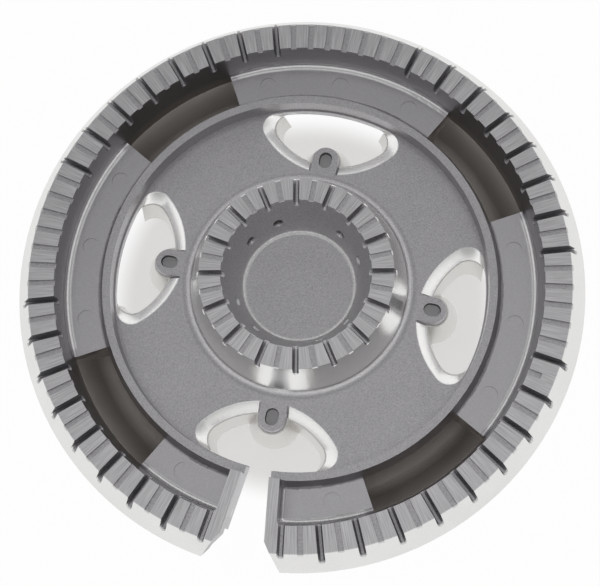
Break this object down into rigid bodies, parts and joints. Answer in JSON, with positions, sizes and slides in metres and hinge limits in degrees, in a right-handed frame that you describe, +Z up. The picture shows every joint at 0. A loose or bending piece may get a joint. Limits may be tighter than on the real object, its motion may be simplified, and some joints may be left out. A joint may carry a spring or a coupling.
{
  "type": "triple ring gas burner head",
  "caption": "Die-cast aluminium burner head: slotted outer ring with a gas trough and spark plug gap, four-spoke plate with windows, raised slotted inner crown, and a lower duct casting",
  "frame": {"origin": "on the burner's axis, in the plane of the collar's foot", "axes": "+Z up along the burner's axis, -Y towards the spark plug gap in the outer ring"},
  "size_m": [0.1308, 0.1302, 0.0315],
  "materials": {
    "crown_casting": "bead-blasted casting with turned lands",
    "body_casting": "as-cast"
  },
  "bodies": {
    "root": {"burner_crown": "crown_casting", "lower_body": "body_casting"}
  },
  "joints": []
}
